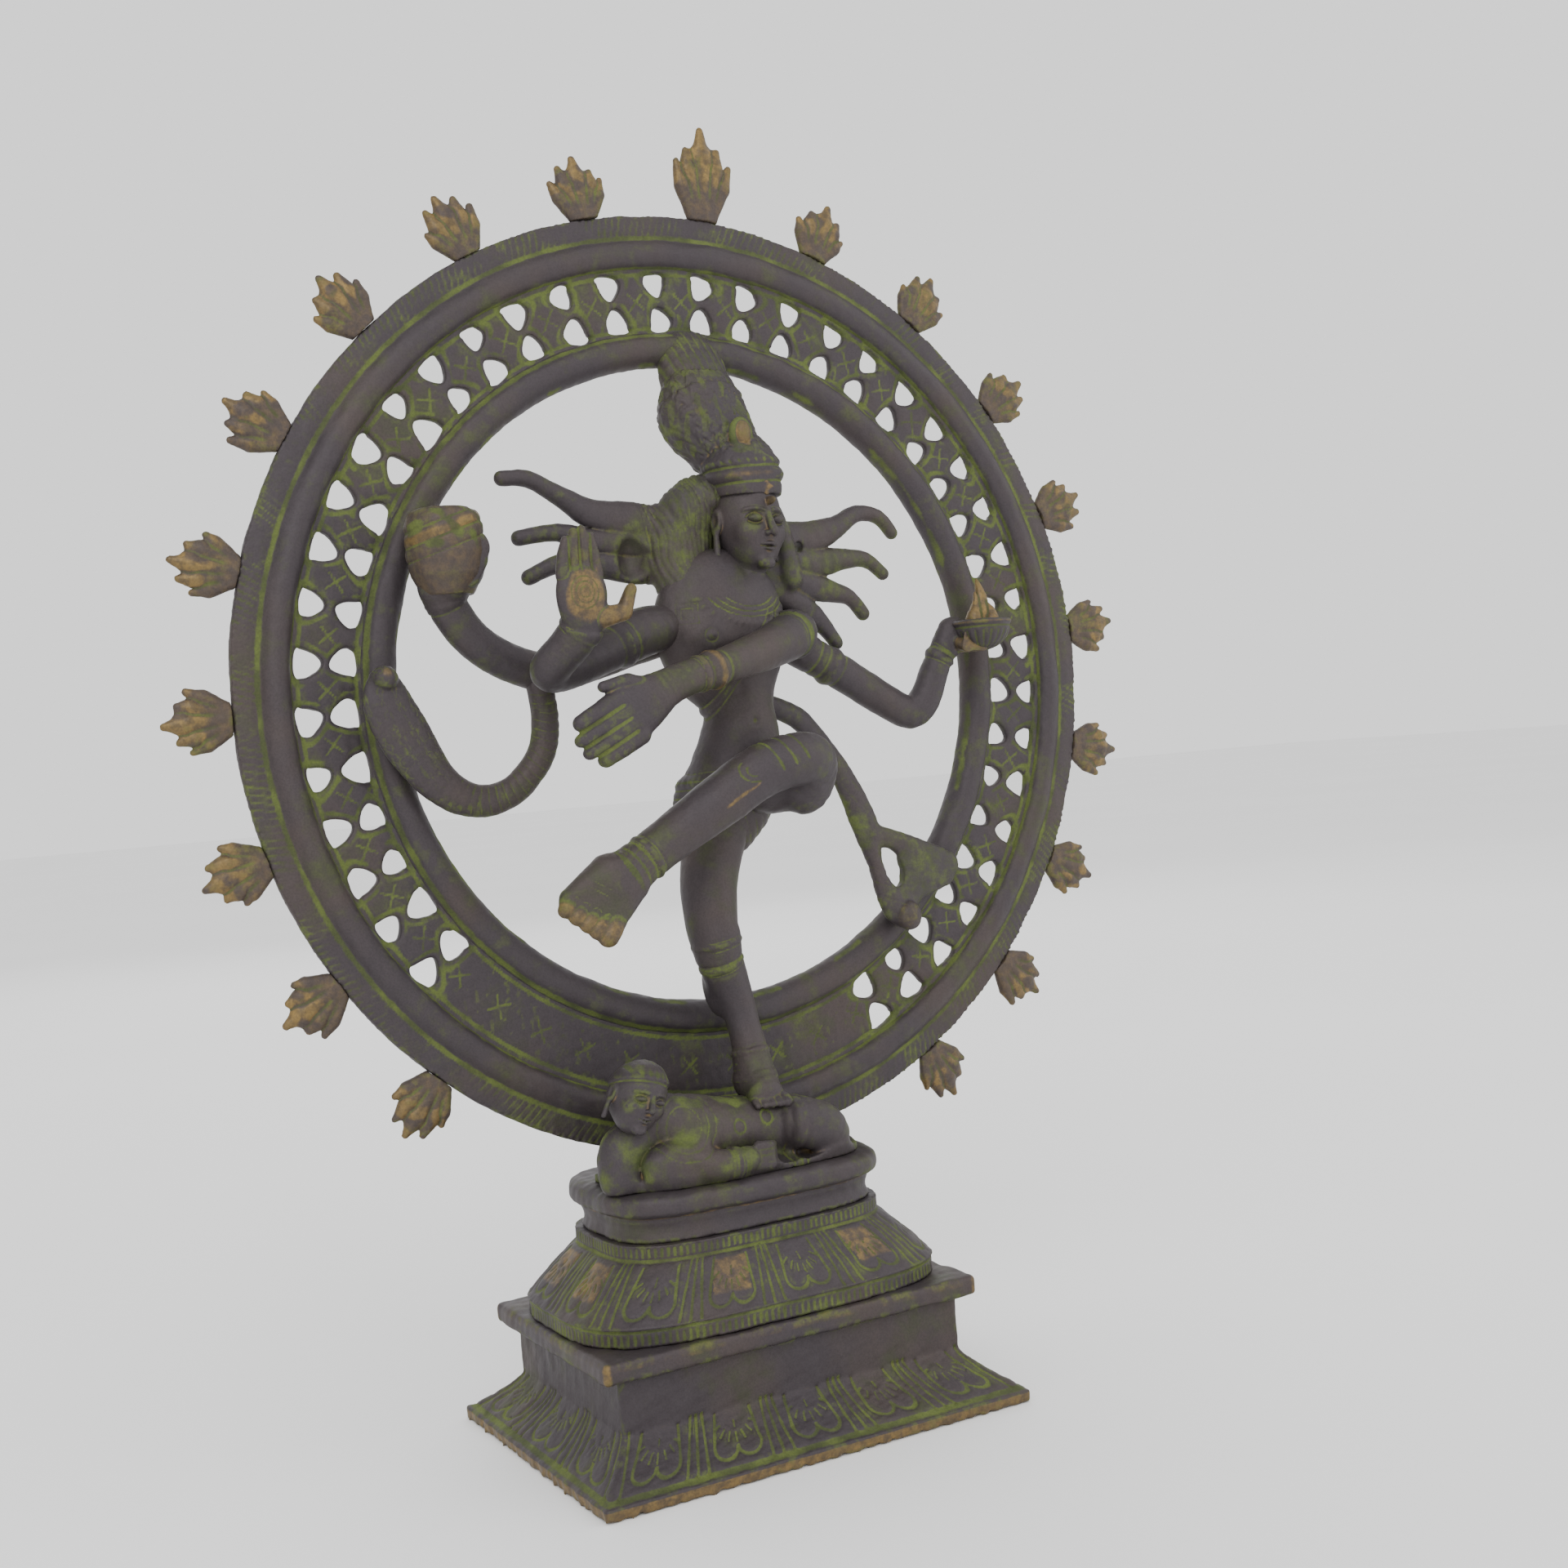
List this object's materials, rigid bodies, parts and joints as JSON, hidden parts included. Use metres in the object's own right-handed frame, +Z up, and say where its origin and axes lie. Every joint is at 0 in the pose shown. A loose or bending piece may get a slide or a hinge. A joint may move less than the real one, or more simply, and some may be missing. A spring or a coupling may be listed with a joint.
{
  "type": "dancing figure statue",
  "caption": "Cast brass statue of a four-armed dancer balanced on a dwarf inside a pierced ring of flames, on a lotus pedestal; stands on a shelf as an ornament.",
  "frame": {"origin": "table height, under the middle of the ring of flames; the pedestal's middle is 8.5 mm to the left of it", "axes": "+Z up, -Y the front that the dancer faces, +X the dancer's left, which is the viewer's right from the front"},
  "size_m": [0.2057, 0.0674, 0.2479],
  "materials": {
    "aged_brass": "dark purple-brown patina with green verdigris in the recesses, satin",
    "worn_brass": "brown brass worn on the high points, satin",
    "steel": "plain zinc-plated steel, hidden under the base"
  },
  "bodies": {
    "root": {"plinth": "aged_brass", "plinth_cap": "aged_brass", "lotus_dome": "aged_brass", "deck": "aged_brass", "ring_inner_rim": "aged_brass", "ring_lattice": "aged_brass", "ring_outer_rim": "aged_brass", "ring_foot_left": "aged_brass", "ring_foot_right": "aged_brass", "dwarf": "aged_brass", "dwarf_head": "aged_brass", "torso": "aged_brass", "head": "aged_brass", "crown": "aged_brass", "crown_lug": "aged_brass", "hair_left": "aged_brass", "hair_right": "aged_brass", "standing_leg": "aged_brass", "raised_leg": "aged_brass", "front_left_arm": "aged_brass", "front_right_arm": "aged_brass", "rear_left_arm": "aged_brass", "rear_right_arm": "aged_brass", "flame_bowl": "aged_brass", "cobra": "aged_brass", "sash": "aged_brass", "flame_01": "worn_brass", "flame_02": "worn_brass", "flame_03": "worn_brass", "flame_04": "worn_brass", "flame_05": "worn_brass", "flame_06": "worn_brass", "flame_07": "worn_brass", "flame_08": "worn_brass", "flame_09": "worn_brass", "flame_10": "worn_brass", "flame_11": "worn_brass", "flame_12": "worn_brass", "flame_13": "worn_brass", "flame_14": "worn_brass", "flame_15": "worn_brass", "flame_16": "worn_brass", "flame_17": "worn_brass", "flame_18": "worn_brass", "flame_19": "worn_brass", "drum": "worn_brass", "bowl_flame": "worn_brass", "tie_stud": "steel", "stud_washer": "steel", "stud_nut": "steel"}
  },
  "joints": []
}
